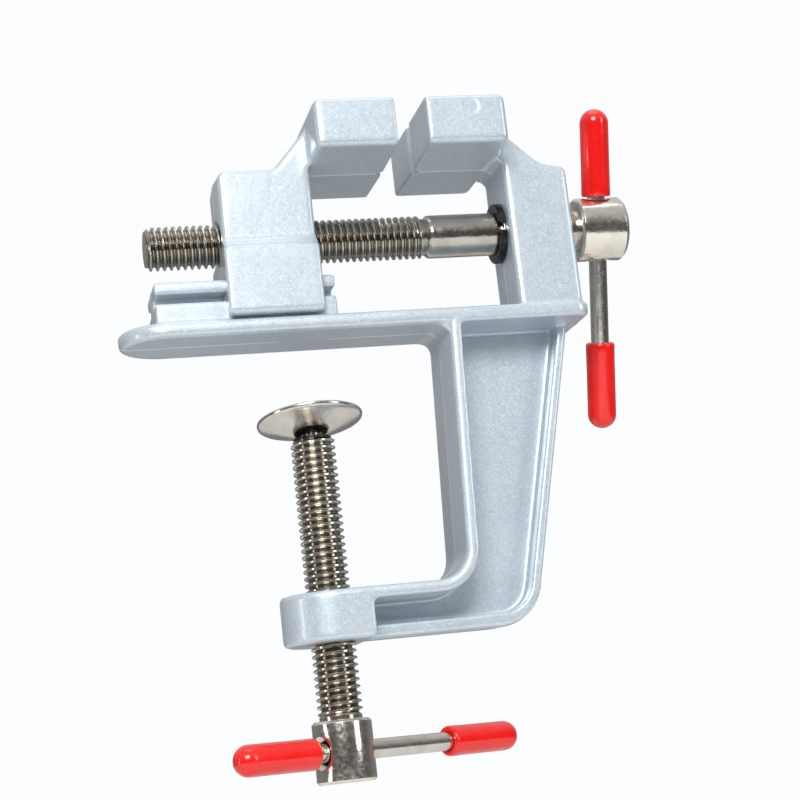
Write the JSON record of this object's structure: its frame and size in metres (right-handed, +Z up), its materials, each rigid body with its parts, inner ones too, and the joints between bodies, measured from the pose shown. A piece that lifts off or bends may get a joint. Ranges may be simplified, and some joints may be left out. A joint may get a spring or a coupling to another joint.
{
  "type": "bench vise",
  "caption": "Small clamp-on table vise: cast frame with a sliding jaw on a rail, a main screw and a clamp screw with T handles, and a tilting clamp pad.",
  "frame": {"origin": "where the clamp screw's axis meets the flat underside of the bed, which rests on the table top", "axes": "+X along the main screw towards its handle, +Y towards the back of the vise, +Z up along the clamp screw towards the jaws"},
  "size_m": [0.0966, 0.0363, 0.1195],
  "materials": {
    "cast_paint": "gloss silver metallic paint on cast aluminium",
    "nickel": "bright nickel plate",
    "cap_red": "gloss dipped vinyl",
    "ring_black": "black oxide"
  },
  "bodies": {
    "frame": {"frame_casting": "cast_paint"},
    "jaw": {"moving_jaw": "cast_paint"},
    "main_screw": {"main_screw": "nickel", "retaining_ring": "ring_black"},
    "main_handle": {"main_handle_bar": "nickel", "main_handle_cap_top": "cap_red", "main_handle_cap_bottom": "cap_red"},
    "clamp_slide": {"swivel_washer": "ring_black"},
    "clamp_screw": {"clamp_screw": "nickel"},
    "clamp_handle": {"clamp_handle_bar": "nickel", "clamp_handle_cap_left": "cap_red", "clamp_handle_cap_right": "cap_red"},
    "clamp_pad": {"clamp_pad": "nickel"}
  },
  "joints": [
    {"name": "main_turn", "type": "hinge", "parent": "frame", "child": "main_screw", "pos_m": [0.0399, 0, 0.0185], "axis": [-1, 0, 0], "range_deg": [-6391, 1664]},
    {"name": "jaw_travel", "type": "slide", "parent": "frame", "child": "jaw", "axis": [1, 0, 0], "range_m": [-0.0222, 0.00579]},
    {"name": "main_handle_slide", "type": "slide", "parent": "main_screw", "child": "main_handle", "axis": [0, -0.309, 0.9511], "range_m": [-0.00015, 0.0155]},
    {"name": "clamp_travel", "type": "slide", "parent": "frame", "child": "clamp_slide", "axis": [0, 0, 1], "range_m": [-0.025, 0.011]},
    {"name": "clamp_turn", "type": "hinge", "parent": "clamp_slide", "child": "clamp_screw", "pos_m": [0, 0, -0.0185], "axis": [0, 0, 1], "range_deg": [-7197, 3165]},
    {"name": "clamp_handle_slide", "type": "slide", "parent": "clamp_screw", "child": "clamp_handle", "axis": [-0.8829, -0.4695, 0], "range_m": [-0.0013, 0.0187]},
    {"name": "pad_tilt", "type": "hinge", "parent": "clamp_slide", "child": "clamp_pad", "pos_m": [0, 0, -0.0169], "axis": [-0.9893, -0.1456, 0], "range_deg": [-19.6, 3.2]}
  ],
  "couplings": [
    {"joint": "jaw_travel", "follows": "main_turn", "m_per_rad": 0.00019894},
    {"joint": "clamp_travel", "follows": "clamp_turn", "m_per_rad": 0.00019894}
  ]
}
